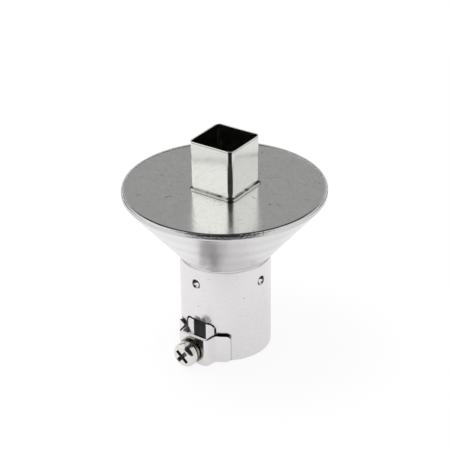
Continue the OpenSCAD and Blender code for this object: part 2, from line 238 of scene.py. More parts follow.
on_edge = add(tree, "ShaderNodeMath", {0: spot.outputs["Z"], 1: EDGE_RUB}, operation="GREATER_THAN")
worked = add(tree, "ShaderNodeMath", {0: on_edge, 1: pressed}, operation="MAXIMUM")
worked_face = add(tree, "ShaderNodeMath", {0: worked, 1: outward}, operation="MULTIPLY")
lie = add(tree, "ShaderNodeMix", {"Factor": worked_face, "A": rolled_edge, "B": face}, data_type="VECTOR")
shade = add(tree, "ShaderNodeBsdfPrincipled", {
    "Base Color": flange_shaded, "Metallic": 1.0, "Roughness": gloss, "Normal": lie})
add(tree, "ShaderNodeOutputMaterial", {"Surface": shade})
wear("socket_tube", tumbled_steel)


# Funnel
# One stainless sheet, spun over a former into a neck, a cone and an upright rim, whose edge
# is rolled over the cover plate. The neck is staked into the tube.
CONE_FOOT = 0.0254
FOOT_BLEND = 0.0009
RIM_FOOT = 0.0424
RIM_START = 0.0428
ROLL_FOOT = 0.0434
LIP_OUTER = 0.02482
ROLL_TOP = 0.02520
ROLL_OUTER = 0.02530
CAMERA_WAY = (0.589, -0.808, 0.0)
LINE_FADE = 0.00004
CAMERA_FACING_START = 0.35
CAMERA_FACING_FULL = 0.7
LIP_FLATNESS = 0.8
CONE_OUTWARD = 0.1
RING_DEPTH = 0.00003
RIM_GRAIN_DEPTH = 0.0001

spun_steel, tree = new_material("spun_stainless_sheet")
# The roller's broad faint rings run round the axis, so they depend on height alone. The
# rim is left smoother, with a coarse grain.
place = add(tree, "ShaderNodeTexCoord").outputs["Object"]
spot = add(tree, "ShaderNodeSeparateXYZ", {"Vector": place})
height = spot.outputs["Z"]
rings = add(tree, "ShaderNodeTexNoise", {
    "W": height, "Scale": across(2.4), "Detail": 1.0}, noise_dimensions="1D")
grain = add(tree, "ShaderNodeTexNoise", {"Vector": place, "Scale": across(0.4), "Detail": 3.0})
tone = add(tree, "ShaderNodeMapRange", {"Value": rings, "From Min": NOISE_LOW, "From Max": NOISE_HIGH})
steel = add(tree, "ShaderNodeMix", {
    "Factor": tone, "A": linear("#E0DEDF"), "B": linear("#E8E6E7")}, data_type="RGBA")
satin = add(tree, "ShaderNodeMapRange", {
    "Value": grain, "From Min": NOISE_LOW, "From Max": NOISE_HIGH, "To Min": 0.24, "To Max": 0.28})
on_rim = add(tree, "ShaderNodeMapRange", {"Value": height, "From Min": RIM_FOOT, "From Max": RIM_START})
gloss = add(tree, "ShaderNodeMix", {"Factor": on_rim, "A": satin, "B": 0.22}, data_type="FLOAT")
# A thin uneven dark line is painted on the roll's shoulder, except on the side that faces the
# camera: painted shade and reflection. On that side the lip's top and inner edge are painted
# dark instead, down to the plate: painted shade and reflection there.
flat = add(tree, "ShaderNodeCombineXYZ", {"X": spot.outputs["X"], "Y": spot.outputs["Y"]})
from_axis = add(tree, "ShaderNodeVectorMath", {0: flat}, operation="LENGTH")
radial = add(tree, "ShaderNodeVectorMath", {0: flat}, operation="NORMALIZE")
uneven = add(tree, "ShaderNodeTexNoise", {"Vector": place, "Scale": across(3.0), "Detail": 3.0})
drift = add(tree, "ShaderNodeMapRange", {
    "Value": uneven, "From Min": NOISE_LOW, "From Max": NOISE_HIGH, "To Min": -LINE_FADE,
    "To Max": LINE_FADE})
reach = add(tree, "ShaderNodeMath", {0: from_axis, 1: drift}, operation="ADD")
shoulder = add(tree, "ShaderNodeMapRange", {
    "Value": reach, "From Min": ROLL_OUTER, "From Max": ROLL_OUTER + LINE_FADE})
on_top = add(tree, "ShaderNodeMapRange", {
    "Value": reach, "From Min": ROLL_TOP - LINE_FADE, "From Max": ROLL_TOP + LINE_FADE, "To Min": 1.0,
    "To Max": 0.0})
ahead = add(tree, "ShaderNodeVectorMath", {0: radial, 1: CAMERA_WAY}, operation="DOT_PRODUCT")
facing_camera = add(tree, "ShaderNodeMapRange", {"Value": ahead, "From Min": CAMERA_FACING_START, "From Max": CAMERA_FACING_FULL})
painted_top_shade = add(tree, "ShaderNodeMath", {0: on_top, 1: facing_camera}, operation="MULTIPLY")
away_from_camera = add(tree, "ShaderNodeMath", {0: 1.0, 1: facing_camera}, operation="SUBTRACT")
painted_shoulder_shade = add(tree, "ShaderNodeMath", {0: shoulder, 1: away_from_camera}, operation="MULTIPLY")
lines = add(tree, "ShaderNodeMath", {0: painted_shoulder_shade, 1: painted_top_shade}, operation="MAXIMUM")
on_roll = add(tree, "ShaderNodeMapRange", {
    "Value": height, "From Min": ROLL_FOOT, "From Max": ROLL_FOOT + LINE_FADE})
painted_rim_shade = add(tree, "ShaderNodeMath", {0: lines, 1: on_roll}, operation="MULTIPLY")
sheet = add(tree, "ShaderNodeMix", {
    "Factor": painted_rim_shade, "A": steel, "B": linear("#4A4946")}, data_type="RGBA")
within_lip = add(tree, "ShaderNodeMath", {0: from_axis, 1: LIP_OUTER}, operation="LESS_THAN")
on_lip = add(tree, "ShaderNodeMath", {0: within_lip, 1: on_roll}, operation="MULTIPLY")
dulled = add(tree, "ShaderNodeMix", {"Factor": on_lip, "A": gloss, "B": 0.5}, data_type="FLOAT")
ridges = add(tree, "ShaderNodeBump", {"Strength": 0.3, "Distance": RING_DEPTH, "Height": rings})
rim_grain = add(tree, "ShaderNodeMath", {0: grain, 1: on_rim}, operation="MULTIPLY")
rough_rim = add(tree, "ShaderNodeBump", {
    "Strength": 0.6, "Distance": RIM_GRAIN_DEPTH, "Height": rim_grain, "Normal": ridges})
# The cone's foot is burnished round into the tube's line, and the lip's edge is beaten flat
facing = add(tree, "ShaderNodeVectorMath", {
    0: add(tree, "ShaderNodeNewGeometry").outputs["True Normal"], 1: radial}, operation="DOT_PRODUCT")
outward = add(tree, "ShaderNodeMath", {0: facing, 1: CONE_OUTWARD}, operation="GREATER_THAN")
near_foot = add(tree, "ShaderNodeMapRange", {
    "Value": height, "From Min": CONE_FOOT, "From Max": CONE_FOOT + FOOT_BLEND, "To Min": 1.0,
    "To Max": 0.0})
foot_share = add(tree, "ShaderNodeMath", {0: near_foot, 1: outward}, operation="MULTIPLY")
rounded = add(tree, "ShaderNodeMix", {
    "Factor": foot_share, "A": rough_rim, "B": radial}, data_type="VECTOR")
lip_share = add(tree, "ShaderNodeMath", {0: on_lip, 1: LIP_FLATNESS}, operation="MULTIPLY")
beaten = add(tree, "ShaderNodeMix", {
    "Factor": lip_share, "A": rounded, "B": (0.0, 0.0, 1.0)}, data_type="VECTOR")
lie = add(tree, "ShaderNodeVectorMath", {0: beaten}, operation="NORMALIZE")
shade = add(tree, "ShaderNodeBsdfPrincipled", {
    "Base Color": sheet, "Metallic": 1.0, "Roughness": dulled, "Normal": lie})
add(tree, "ShaderNodeOutputMaterial", {"Surface": shade})
wear("funnel", spun_steel)


# Cover plate
# A flat disc blanked from cold-rolled stainless sheet and held by the rim's rolled edge. It
# keeps the mill's bright finish, with hairline scratches and specks from handling.
rolled_steel, tree = new_material("cold_rolled_stainless_plate")
# The rolled face is close to a mirror, slightly clouded, so what it shows blurs with distance
place = add(tree, "ShaderNodeTexCoord").outputs["Object"]
cloud = add(tree, "ShaderNodeTexNoise", {"Vector": place, "Scale": across(3.0), "Detail": 5.0})
haze = add(tree, "ShaderNodeMapRange", {
    "Value": cloud, "From Min": NOISE_LOW, "From Max": NOISE_HIGH, "To Min": 0.17, "To Max": 0.22})
# Hairlines are drawn wider than the real ones, so that they show at this distance
HAIR_MM = 0.16
HAIR_START = 0.66
HAIR_FULL = 0.74
# Each set's turn in degrees and length in millimetres
HAIRS = ((24, 5.0), (71, 3.0), (-38, 4.0))
marks = None
for turn_deg, long_mm in HAIRS:
    laid = add(tree, "ShaderNodeMapping", {
        "Vector": place, "Rotation": (0.0, 0.0, math.radians(turn_deg)),
        "Scale": (long_mm / 1000, HAIR_MM / 1000, 1.0)}, vector_type="TEXTURE")
    lines = add(tree, "ShaderNodeTexNoise", {"Vector": laid, "Scale": 1.0, "Detail": 2.0})
    hair = add(tree, "ShaderNodeMapRange", {
        "Value": lines, "From Min": HAIR_START, "From Max": HAIR_FULL})
    if marks is None:
        marks = hair
    else:
        marks = add(tree, "ShaderNodeMath", {0: marks, 1: hair}, operation="MAXIMUM")
# Scratches curve as the hand that slid the part did, and specks lie scattered among them
SCRATCH_CORE = 0.004
SCRATCH_EDGE = 0.010
PATCH_START = 0.58
PATCH_FULL = 0.66
DUST_START = 0.72
DUST_FULL = 0.78
swing = add(tree, "ShaderNodeTexNoise", {"Vector": place, "Scale": across(5.0), "Detail": 2.0})
off_line = add(tree, "ShaderNodeMath", {0: swing, 1: 0.5}, operation="SUBTRACT")
from_line = add(tree, "ShaderNodeMath", {0: off_line}, operation="ABSOLUTE")
on_line = add(tree, "ShaderNodeMapRange", {
    "Value": from_line, "From Min": SCRATCH_CORE, "From Max": SCRATCH_EDGE, "To Min": 1.0,
    "To Max": 0.0})
patches = add(tree, "ShaderNodeTexNoise", {"Vector": place, "Scale": across(2.2), "Detail": 1.0})
in_patch = add(tree, "ShaderNodeMapRange", {
    "Value": patches, "From Min": PATCH_START, "From Max": PATCH_FULL})
scratch = add(tree, "ShaderNodeMath", {0: on_line, 1: in_patch}, operation="MULTIPLY")
dust = add(tree, "ShaderNodeTexNoise", {"Vector": place, "Scale": across(0.6), "Detail": 1.0})
pits = add(tree, "ShaderNodeMapRange", {"Value": dust, "From Min": DUST_START, "From Max": DUST_FULL})
scored = add(tree, "ShaderNodeMath", {0: marks, 1: scratch}, operation="MAXIMUM")
marked = add(tree, "ShaderNodeMath", {0: scored, 1: pits}, operation="MAXIMUM")
mottle = add(tree, "ShaderNodeTexNoise", {"Vector": place, "Scale": across(0.5), "Detail": 3.0})
sheet = add(tree, "ShaderNodeMix", {
    "Factor": mottle, "A": linear("#E9E9E7"), "B": linear("#FAFAF8")}, data_type="RGBA")
steel = add(tree, "ShaderNodeMix", {
    "Factor": marked, "A": sheet, "B": linear("#C2C2BE")}, data_type="RGBA")
shade = add(tree, "ShaderNodeBsdfPrincipled", {"Base Color": steel, "Metallic": 1.0, "Roughness": haze})
add(tree, "ShaderNodeOutputMaterial", {"Surface": shade})
wear("cover_plate", rolled_steel)


# Square outlet
# One strip of polished stainless sheet, folded round a square former and let into the
# plate's hole. Its cut edge is rounded by deburring, dented at one corner and burred at another.
OUTLET_HALF = 0.0063
OUTLET_WALL = 0.0003
OUTLET_CORNER = 0.00145
OUTLET_FOOT = 0.0427007
PLATE_TOP = 0.0437007
OUTLET_TOP = 0.0569007
# The outlet was brazed in by eye, a little turned and off the axis
OUTLET_TURN = math.radians(1.4)
OUTLET_OFF = Vector((0.00013, 0.00009))
EDGE_ROUND = 0.0001
SIDE_STEPS = 30
CORNER_STEPS = 10


def square_path():
    """Points and outward normals round the outlet's outer face, as flat vectors."""
    path = []
    straight = OUTLET_HALF - OUTLET_CORNER
    for quarter in range(4):
        turn = Matrix.Rotation(quarter * math.pi / 2 + OUTLET_TURN, 2)
        for i in range(SIDE_STEPS):
            along = straight * (2 * i / SIDE_STEPS - 1)
            path.append((turn @ Vector((OUTLET_HALF, along)) + OUTLET_OFF, turn @ Vector((1, 0))))
        for i in range(CORNER_STEPS):
            bend = math.pi / 2 * i / CORNER_STEPS
            normal = Vector((math.cos(bend), math.sin(bend)))
            path.append((turn @ (Vector((straight, straight)) + OUTLET_CORNER * normal) + OUTLET_OFF,
                         turn @ normal))
    return path


def loop_piece(name, loops):
    """A piece skinned over loops of points, with the last loop joined to the first."""
    count = len(loops[0])
    faces = []
    for k in range(len(loops)):
        low = k * count
        high = (k + 1) % len(loops) * count
        for i in range(count):
            j = (i + 1) % count
            faces.append((low + i, low + j, high + j, high + i))
    mesh = bpy.data.meshes.new(name)
    mesh.from_pydata([point for loop in loops for point in loop], [], faces)
    mesh.shade_smooth()
    made = bpy.data.objects.new(name, mesh)
    bpy.context.scene.collection.objects.link(made)
    return made


DENT_AT = Vector((-OUTLET_HALF, -OUTLET_HALF))
DENT_DEPTH = 0.00022
DENT_WIDTH = 0.0009
BURR_AT = Vector((OUTLET_HALF, OUTLET_HALF))
BURR_HEIGHT = 0.00006
BURR_WIDTH = 0.0016
TOP_WAVE = 0.00004


def top_shift(point):
    """How far the cut edge lies below the highest point of the outlet, at a place on its path."""
    dent = DENT_DEPTH * math.exp(-((point - DENT_AT).length / DENT_WIDTH) ** 2)
    ragged = 0.5 + 0.5 * noise.noise(Vector((point.x, point.y, 0)) * across(0.35))
    burr = BURR_HEIGHT * ragged * math.exp(-((point - BURR_AT).length / BURR_WIDTH) ** 2)
    wave = TOP_WAVE * (0.5 + 0.5 * noise.noise(Vector((point.x, point.y, 0)) * across(4.0)))
    return BURR_HEIGHT + wave + dent - burr


ROUND_STEPS = 4
path = square_path()
loops = []
for share in (0.0, 0.25, 0.5, 0.75, 0.95):
    high = OUTLET_FOOT + share * (OUTLET_TOP - OUTLET_FOOT)
    loops.append([(p.x, p.y, high) for p, n in path])
for start, side in ((EDGE_ROUND, -1), (OUTLET_WALL - EDGE_ROUND, 1)):
    for k in range(ROUND_STEPS + 1):
        bend = math.pi / 2 * (k if side < 0 else ROUND_STEPS - k) / ROUND_STEPS
        inset = start + side * EDGE_ROUND * math.cos(bend)
        drop = EDGE_ROUND * (1 - math.sin(bend))
        loops.append([(p.x - n.x * inset, p.y - n.y * inset, OUTLET_TOP - top_shift(p) - drop)
                      for p, n in path])
for share in (0.95, 0.5, 0.0):
    high = OUTLET_FOOT + share * (OUTLET_TOP - OUTLET_FOOT)
    loops.append([(p.x - n.x * OUTLET_WALL, p.y - n.y * OUTLET_WALL, high) for p, n in path])
outlet = loop_piece("folded_outlet", loops)
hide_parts("outlet_tube")
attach(outlet, "nozzle")

NICKS = ((-0.00547, -0.00618, 0.0547), (-0.00547, -0.00618, 0.0491))
NICK_R = 0.0003
EDGE_LINE = OUTLET_TOP - 0.00036
EDGE_LINE_HALF = 0.0001
# A face looks inwards where its normal, dotted with its place, falls to these values in metres
INSIDE_FULL = -0.0058
INSIDE_START = -0.0050
POLISH_SLANT = math.radians(36)
POLISH_LONG = 0.004
POLISH_WIDE = 0.0002
POLISH_START = 0.5
POLISH_FULL = 0.8

polished_steel, tree = new_material("polished_stainless_sheet")
# A bright polish with a faint greenish white and slanting polishing lines, which are drawn
# wider than the real ones, so that they show at this distance
place = add(tree, "ShaderNodeTexCoord").outputs["Object"]
cloud = add(tree, "ShaderNodeTexNoise", {"Vector": place, "Scale": across(2.0), "Detail": 4.0})
haze = add(tree, "ShaderNodeMapRange", {
    "Value": cloud, "From Min": NOISE_LOW, "From Max": NOISE_HIGH, "To Min": 0.15, "To Max": 0.20})
spot = add(tree, "ShaderNodeSeparateXYZ", {"Vector": place})
along = add(tree, "ShaderNodeMath", {0: spot.outputs["X"], 1: spot.outputs["Y"]}, operation="ADD")
on_face = add(tree, "ShaderNodeCombineXYZ", {"X": along, "Y": spot.outputs["Z"]})
laid = add(tree, "ShaderNodeMapping", {
    "Vector": on_face, "Rotation": (0.0, 0.0, POLISH_SLANT), "Scale": (POLISH_LONG, POLISH_WIDE, 1.0)},
    vector_type="TEXTURE")
lines = add(tree, "ShaderNodeTexNoise", {"Vector": laid, "Scale": 1.0, "Detail": 2.0})
hair = add(tree, "ShaderNodeMapRange", {
    "Value": lines, "From Min": POLISH_START, "From Max": POLISH_FULL})
steel = add(tree, "ShaderNodeMix", {
    "Factor": hair, "A": linear("#F3F4F0"), "B": linear("#E2E3DF")}, data_type="RGBA")
# The cut-off wheel leaves a dull line under the edge, and one corner was knocked twice
height = spot.outputs["Z"]
off_edge = add(tree, "ShaderNodeMath", {0: height, 1: EDGE_LINE}, operation="SUBTRACT")
from_edge = add(tree, "ShaderNodeMath", {0: off_edge}, operation="ABSOLUTE")
dull = add(tree, "ShaderNodeMapRange", {
    "Value": from_edge, "From Min": 0.5 * EDGE_LINE_HALF, "From Max": EDGE_LINE_HALF, "To Min": 1.0,
    "To Max": 0.0})
for nick in NICKS:
    away = add(tree, "ShaderNodeVectorMath", {0: place, 1: nick}, operation="DISTANCE")
    knocked = add(tree, "ShaderNodeMapRange", {
        "Value": away, "From Min": 0.5 * NICK_R, "From Max": NICK_R, "To Min": 1.0, "To Max": 0.0})
    dull = add(tree, "ShaderNodeMath", {0: dull, 1: knocked}, operation="MAXIMUM")
worn = add(tree, "ShaderNodeMix", {"Factor": dull, "A": steel, "B": linear("#8E8E8A")}, data_type="RGBA")
# The inside faces are painted darker: painted shade inside the outlet
flat = add(tree, "ShaderNodeVectorMath", {0: place, 1: (1.0, 1.0, 0.0)}, operation="MULTIPLY")
facing = add(tree, "ShaderNodeVectorMath", {
    0: add(tree, "ShaderNodeNewGeometry").outputs["True Normal"], 1: flat}, operation="DOT_PRODUCT")
inside = add(tree, "ShaderNodeMapRange", {
    "Value": facing, "From Min": INSIDE_FULL, "From Max": INSIDE_START, "To Min": 1.0, "To Max": 0.0})
painted_inside_shade = add(tree, "ShaderNodeMix", {
    "Factor": inside, "A": worn, "B": linear("#B4B2AD")}, data_type="RGBA")
shade = add(tree, "ShaderNodeBsdfPrincipled", {"Base Color": painted_inside_shade, "Metallic": 1.0, "Roughness": haze})
add(tree, "ShaderNodeOutputMaterial", {"Surface": shade})
outlet.data.materials.append(polished_steel)


# Braze
# A thin bead of filler, run round the outlet's foot by hand. It swells a little on its way
# and leaves a drop at each corner.
BEAD_R = 0.00036
BEAD_OUT = 0.00006
BEAD_UP = 0.00012
BEAD_LUMPS = 0.15
BEAD_STEPS = 14
DROP_R = 0.00026
DROP_WIDTH = 0.0007
CREST_LOW = 0.00004
CREST_HIGH = 0.00050
NUB_FROM = 0.0054
NUB_TO = 0.0058

run = []
for p, n in path:
    lump = 1 + BEAD_LUMPS * noise.noise(Vector((p.x, p.y, 0)) * across(1.1))
    corner = Vector((math.copysign(OUTLET_HALF, p.x), math.copysign(OUTLET_HALF, p.y)))
    drop = DROP_R * math.exp(-((p - corner).length / DROP_WIDTH) ** 2)
    run.append((p + n * BEAD_OUT, n, BEAD_R * lump + drop))
loops = []
for k in range(BEAD_STEPS):
    bend = 2 * math.pi * k / BEAD_STEPS
    loops.append([(p.x + n.x * r * math.cos(bend), p.y + n.y * r * math.cos(bend),
                   PLATE_TOP + BEAD_UP + r * math.sin(bend)) for p, n, r in run])
bead = loop_piece("braze_bead", loops)
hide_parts("outlet_braze")
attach(bead, "nozzle")

filler, tree = new_material("dull_braze_filler")
# The bead is bright along its crest. Both of its margins are painted dark, a painted shade and
# reflection along its top and its foot, and the drops at the corners are painted dark as well.
place = add(tree, "ShaderNodeTexCoord").outputs["Object"]
lumps = add(tree, "ShaderNodeTexNoise", {"Vector": place, "Scale": across(0.5), "Detail": 3.0})
spot = add(tree, "ShaderNodeSeparateXYZ", {"Vector": place})
over_plate = add(tree, "ShaderNodeMath", {0: spot.outputs["Z"], 1: PLATE_TOP}, operation="SUBTRACT")
from_crest = add(tree, "ShaderNodeMath", {
    0: over_plate, 1: (CREST_LOW + CREST_HIGH) / 2}, operation="SUBTRACT")
off_crest = add(tree, "ShaderNodeMath", {0: from_crest}, operation="ABSOLUTE")
painted_margin_shade = add(tree, "ShaderNodeMapRange", {
    "Value": off_crest, "From Min": 0.4 * (CREST_HIGH - CREST_LOW),
    "From Max": 0.5 * (CREST_HIGH - CREST_LOW)})
x_away = add(tree, "ShaderNodeMath", {0: spot.outputs["X"]}, operation="ABSOLUTE")
y_away = add(tree, "ShaderNodeMath", {0: spot.outputs["Y"]}, operation="ABSOLUTE")
both_away = add(tree, "ShaderNodeMath", {0: x_away, 1: y_away}, operation="MINIMUM")
nub = add(tree, "ShaderNodeMapRange", {"Value": both_away, "From Min": NUB_FROM, "From Max": NUB_TO})
dark_margins_and_drops = add(tree, "ShaderNodeMath", {0: painted_margin_shade, 1: nub}, operation="MAXIMUM")
clean = add(tree, "ShaderNodeMix", {
    "Factor": lumps, "A": linear("#B4B4B0"), "B": linear("#ECECE8")}, data_type="RGBA")
bead_tone = add(tree, "ShaderNodeMix", {
    "Factor": dark_margins_and_drops, "A": clean, "B": linear("#4A4945")}, data_type="RGBA")
shade = add(tree, "ShaderNodeBsdfPrincipled", {"Base Color": bead_tone, "Metallic": 1.0, "Roughness": 0.42})
add(tree, "ShaderNodeOutputMaterial", {"Surface": shade})
bead.data.materials.append(filler)


# Clamp bracket
# A strip of stainless sheet, blanked and bent into a hat that bridges the tongue. Its two
# flanges are spot-welded to the tube. Its cut edges are painted dark: painted shade and reflection.
SHEET = 0.0008
CROWN_OUT = 0.0146
CROWN_EDGE = 0.00425
CROWN_BEND = 0.0012
LEG_LEAN = math.radians(10)
HEEL_BEND = 0.0008
FLANGE_OUT = 0.01232
FLANGE_END = math.radians(FLANGE_TO_DEG)
SCREW_HEIGHT = 0.0038
HOLE_R = 0.0016
BEND_STEPS = 10
FLANGE_STEPS = 8
HOLE_STEPS = 32
EDGE_BREAK = 0.00008
BEND_LIMIT = math.radians(40)
BREAK_LIMIT = math.radians(50)


def way(turn):
    """Flat unit vector at an angle from the clamp's mid plane."""
    return Vector((math.sin(turn), -math.cos(turn)))


def bracket_path():
    """Points and normals on the strip's outer face, from the left flange's end to the right one's."""
    leg_turn = math.pi / 2 - LEG_LEAN
    bend_at = Vector((CROWN_EDGE - CROWN_BEND * math.tan(leg_turn / 2), CROWN_BEND - CROWN_OUT))
    down_leg = Vector((math.sin(LEG_LEAN), math.cos(LEG_LEAN)))
    start = Vector((CROWN_EDGE, -CROWN_OUT)) + HEEL_BEND * way(leg_turn)
    far = FLANGE_OUT + HEEL_BEND
    back = start.dot(down_leg)
    heel_at = start - down_leg * (back + math.sqrt(back ** 2 - start.length_squared + far ** 2))
    flange_turn = math.atan2(heel_at.x, -heel_at.y)
    corner_turn = FLANGE_END - FLANGE_CORNER / FLANGE_OUT
    half = []
    for i in range(BEND_STEPS + 1):
        normal = way(leg_turn * i / BEND_STEPS)
        half.append((bend_at + CROWN_BEND * normal, normal))
    for i in range(BEND_STEPS + 1):
        normal = way(leg_turn + (flange_turn - leg_turn) * i / BEND_STEPS)
        half.append((heel_at - HEEL_BEND * normal, normal))
    for i in range(1, FLANGE_STEPS + 1):
        normal = way(flange_turn + (corner_turn - flange_turn) * i / FLANGE_STEPS)
        half.append((FLANGE_OUT * normal, normal))
    for i in range(1, BEND_STEPS + 1):
        into_corner = math.sin(math.pi / 2 * i / BEND_STEPS)
        normal = way(corner_turn + FLANGE_CORNER * into_corner / FLANGE_OUT)
        half.append((FLANGE_OUT * normal, normal))
    mirrored = [(Vector((-p.x, p.y)), Vector((-n.x, n.y))) for p, n in reversed(half)]
    return mirrored, half


def corner_loss(point):
    """What a flange's rounded corner takes off the strip's height at a place on its path."""
    to_end = FLANGE_OUT * (FLANGE_END - math.atan2(abs(point.x), -point.y))
    off = min(FLANGE_CORNER, max(0.0, FLANGE_CORNER - to_end))
    return FLANGE_CORNER - math.sqrt(FLANGE_CORNER ** 2 - off ** 2)


left_half, right_half = bracket_path()
points = []
for p, n in left_half + right_half:
    inner = p - SHEET * n
    low = corner_loss(p)
    high = FLANGE_TOP - low
    points += [(p.x, p.y, low), (p.x, p.y, high), (inner.x, inner.y, high), (inner.x, inner.y, low)]
faces = [(0, 1, 2, 3)]
crown = len(left_half) - 1
last = len(left_half + right_half) - 1
for k in range(last):
    for j in range(4):
        if k == crown and j in (0, 2):
            continue
        i = (j + 1) % 4
        faces.append((4 * k + j, 4 * k + 4 + j, 4 * k + 4 + i, 4 * k + i))
faces.append((4 * last + 3, 4 * last + 2, 4 * last + 1, 4 * last))
# The crown's two faces run round the screw's hole, from their corners to its edge
hole = len(points)
for face_y in (-CROWN_OUT, SHEET - CROWN_OUT):
    for i in range(HOLE_STEPS):
        turn = 2 * math.pi * i / HOLE_STEPS + 5 * math.pi / 4
        points.append((HOLE_R * math.cos(turn), face_y, SCREW_HEIGHT + HOLE_R * math.sin(turn)))
for ring, corners, side in ((hole, (0, 4, 5, 1), 1), (hole + HOLE_STEPS, (3, 7, 6, 2), -1)):
    quarter = HOLE_STEPS // 4
    for i in range(HOLE_STEPS):
        nearest_corner = (i + quarter // 2) // quarter % 4
        fan = (4 * crown + corners[nearest_corner], ring + (i + 1) % HOLE_STEPS, ring + i)
        faces.append(fan[::side])
    for i in range(4):
        middle = ring + i * quarter + quarter // 2
        span = (4 * crown + corners[i], 4 * crown + corners[(i + 1) % 4], middle)
        faces.append(span[::side])
for i in range(HOLE_STEPS):
    j = (i + 1) % HOLE_STEPS
    faces.append((hole + i, hole + j, hole + HOLE_STEPS + j, hole + HOLE_STEPS + i))
mesh = bpy.data.meshes.new("bent_bracket")
mesh.from_pydata(points, [], faces)
mesh.shade_smooth()
mesh.set_sharp_from_angle(angle=BEND_LIMIT)
bracket = bpy.data.objects.new("bent_bracket", mesh)
bpy.context.scene.collection.objects.link(bracket)
broken = bracket.modifiers.new("edge_break", "BEVEL")
broken.width = EDGE_BREAK
broken.segments = 2
broken.limit_method = "ANGLE"
broken.angle_limit = BREAK_LIMIT
broken.harden_normals = True
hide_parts("clamp_bracket")
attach(bracket, "nozzle")

CROWN_HALF = 0.0039
CROWN_ROLL = 0.35
HOLLOW_LIMIT = -0.002
FLANGE_START = 0.0056
EDGE_ON = 0.8
CUT_START = 0.93
CUT_FULL = 0.97

bent_steel, tree = new_material("bent_stainless_strip")
# The faces keep the sheet's satin. The cut edges and the flanges' ends are painted dark, a
# painted shade and reflection, all but the crown's edge, which stays bright
place = add(tree, "ShaderNodeTexCoord").outputs["Object"]
grain = add(tree, "ShaderNodeTexNoise", {"Vector": place, "Scale": across(0.4), "Detail": 3.0})
satin = add(tree, "ShaderNodeMapRange", {
    "Value": grain, "From Min": NOISE_LOW, "From Max": NOISE_HIGH, "To Min": 0.20, "To Max": 0.28})
facing = add(tree, "ShaderNodeSeparateXYZ", {
    "Vector": add(tree, "ShaderNodeNewGeometry").outputs["True Normal"]})
upright = add(tree, "ShaderNodeMath", {0: facing.outputs["Z"]}, operation="ABSOLUTE")
cut_edge = add(tree, "ShaderNodeMapRange", {
    "Value": upright, "From Min": CUT_START, "From Max": CUT_FULL})
sideways = add(tree, "ShaderNodeSeparateXYZ", {"Vector": place}).outputs["X"]
aside = add(tree, "ShaderNodeMath", {0: sideways}, operation="ABSOLUTE")
on_crown = add(tree, "ShaderNodeMath", {0: aside, 1: CROWN_HALF}, operation="LESS_THAN")
dressed = add(tree, "ShaderNodeMath", {0: cut_edge, 1: on_crown}, operation="MULTIPLY")
painted_edge_shade = add(tree, "ShaderNodeMath", {0: cut_edge, 1: dressed}, operation="SUBTRACT")
flat = add(tree, "ShaderNodeVectorMath", {0: place, 1: (1.0, 1.0, 0.0)}, operation="MULTIPLY")
radial = add(tree, "ShaderNodeVectorMath", {0: flat}, operation="NORMALIZE")
out_share = add(tree, "ShaderNodeVectorMath", {
    0: add(tree, "ShaderNodeNewGeometry").outputs["True Normal"], 1: radial}, operation="DOT_PRODUCT")
off_face = add(tree, "ShaderNodeMath", {0: out_share}, operation="ABSOLUTE")
edge_on = add(tree, "ShaderNodeMath", {0: off_face, 1: EDGE_ON}, operation="LESS_THAN")
on_flange = add(tree, "ShaderNodeMath", {0: aside, 1: FLANGE_START}, operation="GREATER_THAN")
flange_edge = add(tree, "ShaderNodeMath", {0: edge_on, 1: on_flange}, operation="MULTIPLY")
painted_dark_edges = add(tree, "ShaderNodeMath", {0: painted_edge_shade, 1: flange_edge}, operation="MAXIMUM")
steel = add(tree, "ShaderNodeMix", {
    "Factor": painted_dark_edges, "A": linear("#E8E6E7"), "B": linear("#5A5956")}, data_type="RGBA")
gloss = add(tree, "ShaderNodeMix", {"Factor": cut_edge, "A": satin, "B": 0.16}, data_type="FLOAT")
# The shear rolls the crown's edge over outwards, and the legs' hollow faces turn up a little
hollow = add(tree, "ShaderNodeMath", {0: facing.outputs["X"], 1: sideways}, operation="MULTIPLY")
in_hollow = add(tree, "ShaderNodeMath", {0: hollow, 1: HOLLOW_LIMIT}, operation="LESS_THAN")
outwards = add(tree, "ShaderNodeMath", {0: dressed, 1: -CROWN_ROLL}, operation="MULTIPLY")
upwards = add(tree, "ShaderNodeMath", {0: in_hollow, 1: PRESS_SLOPE}, operation="MULTIPLY")
sway = add(tree, "ShaderNodeCombineXYZ", {"Y": outwards, "Z": upwards})
swayed = add(tree, "ShaderNodeVectorMath", {
    0: add(tree, "ShaderNodeNewGeometry").outputs["Normal"], 1: sway}, operation="ADD")
lie = add(tree, "ShaderNodeVectorMath", {0: swayed}, operation="NORMALIZE")
shade = add(tree, "ShaderNodeBsdfPrincipled", {
    "Base Color": steel, "Metallic": 1.0, "Roughness": gloss, "Normal": lie})
add(tree, "ShaderNodeOutputMaterial", {"Surface": shade})
bracket.data.materials.append(bent_steel)


# Clamp screw and nut
# A machine screw with a cross recess, and a square nut, both headed from wire and plated.
# The thread is rolled on the shank.
HEAD_FRONT = -0.01894
RECESS_LIP = 0.00018
RECESS_FLOOR = -0.0172
RECESS_REACH = 0.0021
SHANK_REACH = 0.00156
THREAD_PITCH = 0.0005
THREAD_DEPTH = 0.0003

bright_plating, tree = new_material("bright_plated_steel")
